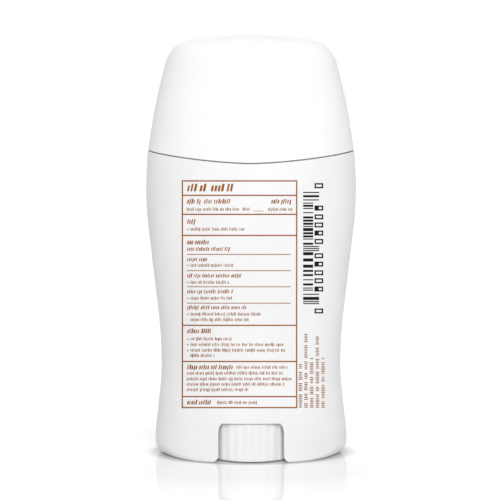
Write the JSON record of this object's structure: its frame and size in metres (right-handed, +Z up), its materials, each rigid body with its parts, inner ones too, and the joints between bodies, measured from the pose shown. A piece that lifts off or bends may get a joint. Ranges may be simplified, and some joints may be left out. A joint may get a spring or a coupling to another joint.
{
  "type": "deodorant stick",
  "caption": "Closed oval twist-up pack for soft deodorant: waisted barrel, domed cap with a curved parting line, and a fluted dial in a notch at the foot.",
  "frame": {"origin": "centre of the pack's footprint, on the surface it stands on", "axes": "+Z up along the pack's axis, +X along its width, front of the pack towards -Y"},
  "size_m": [0.0608, 0.034, 0.1218],
  "materials": {
    "barrel": "satin moulded polypropylene, white",
    "elevator": "moulded polyethylene, white",
    "feed_screw": "moulded acetal, natural",
    "dial": "satin moulded polypropylene, white",
    "cream": "soft opaque cream",
    "applicator_head": "moulded polypropylene, white",
    "cap": "satin moulded polypropylene, white"
  },
  "bodies": {
    "pack": {"barrel": "barrel", "applicator_head": "applicator_head", "cream": "cream"},
    "cap": {"cap": "cap"},
    "dial": {"dial": "dial", "feed_screw": "feed_screw"},
    "elevator": {"elevator": "elevator"}
  },
  "joints": [
    {"name": "cap_lift", "type": "slide", "parent": "pack", "child": "cap", "axis": [0, 0, 1], "range_m": [0, 0.04]},
    {"name": "dial_turn", "type": "hinge", "parent": "pack", "child": "dial", "pos_m": [0, 0, 0.015], "axis": [0, 0, -1], "range_deg": [0, 4320]},
    {"name": "elevator_rise", "type": "slide", "parent": "pack", "child": "elevator", "axis": [0, 0, 1], "range_m": [0, 0.054], "deforming": ["cream"]}
  ],
  "couplings": [
    {"joint": "elevator_rise", "follows": "dial_turn", "m_per_rad": 0.00071619}
  ]
}
